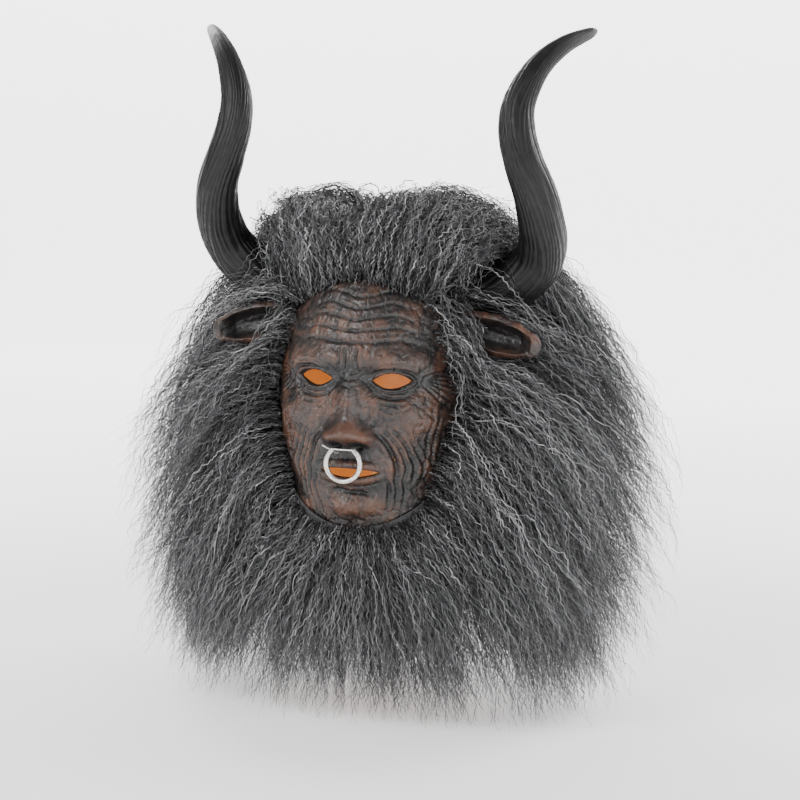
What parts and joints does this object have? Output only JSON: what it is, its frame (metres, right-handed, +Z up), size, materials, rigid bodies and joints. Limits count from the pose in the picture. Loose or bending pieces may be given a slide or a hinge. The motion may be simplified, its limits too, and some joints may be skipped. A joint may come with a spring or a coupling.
{
  "type": "horned over-head mask",
  "caption": "Over-head mask with a moulded face, long curved horns, animal ears, a swinging septum ring and a mane of long hair around the face.",
  "frame": {"origin": "centre of the neck opening that the wearer's head goes through", "axes": "+Z up along the head, -Y the way the face looks, +X to the wearer's left"},
  "size_m": [0.476, 0.3194, 0.5731],
  "materials": {
    "painted_skin": "painted latex-type skin, semi-matt",
    "hood_skin": "dark painted latex-type skin, natural amber inside",
    "horn_black": "ridged black, satin",
    "horn_foam": "rigid foam",
    "plate_plastic": "moulded plate",
    "screw_steel": "zinc plated",
    "ring_metal": "worn silver",
    "tape_cloth": "woven tape",
    "hair": "crimped grey fibre"
  },
  "bodies": {
    "mask": {"beard": "hair", "brow_tape": "tape_cloth", "cheek_tape_left": "tape_cloth", "cheek_tape_right": "tape_cloth", "chin_tape": "tape_cloth", "crown_hair": "hair", "crown_tape": "tape_cloth", "ear_left": "painted_skin", "ear_right": "painted_skin", "face_shell": "painted_skin", "forelock_left": "hair", "forelock_right": "hair", "hood_shell": "hood_skin", "horn_core_left": "horn_foam", "horn_core_right": "horn_foam", "horn_left": "horn_black", "horn_plate_left": "plate_plastic", "horn_plate_right": "plate_plastic", "horn_right": "horn_black", "horn_screws_left": "screw_steel", "horn_screws_right": "screw_steel", "nape_hair": "hair", "neck_hem": "hood_skin", "rear_tapes": "tape_cloth", "seam_tape": "tape_cloth", "side_hair_left": "hair", "side_hair_right": "hair", "temple_hair_left": "hair", "temple_hair_right": "hair"},
    "septum_ring": {"nose_ring": "ring_metal", "ring_post": "ring_metal"}
  },
  "joints": [
    {"name": "ring_swing", "type": "hinge", "parent": "mask", "child": "septum_ring", "pos_m": [0, -0.124, 0.1365], "axis": [-1, 0, 0], "range_deg": [-5, 75]}
  ]
}
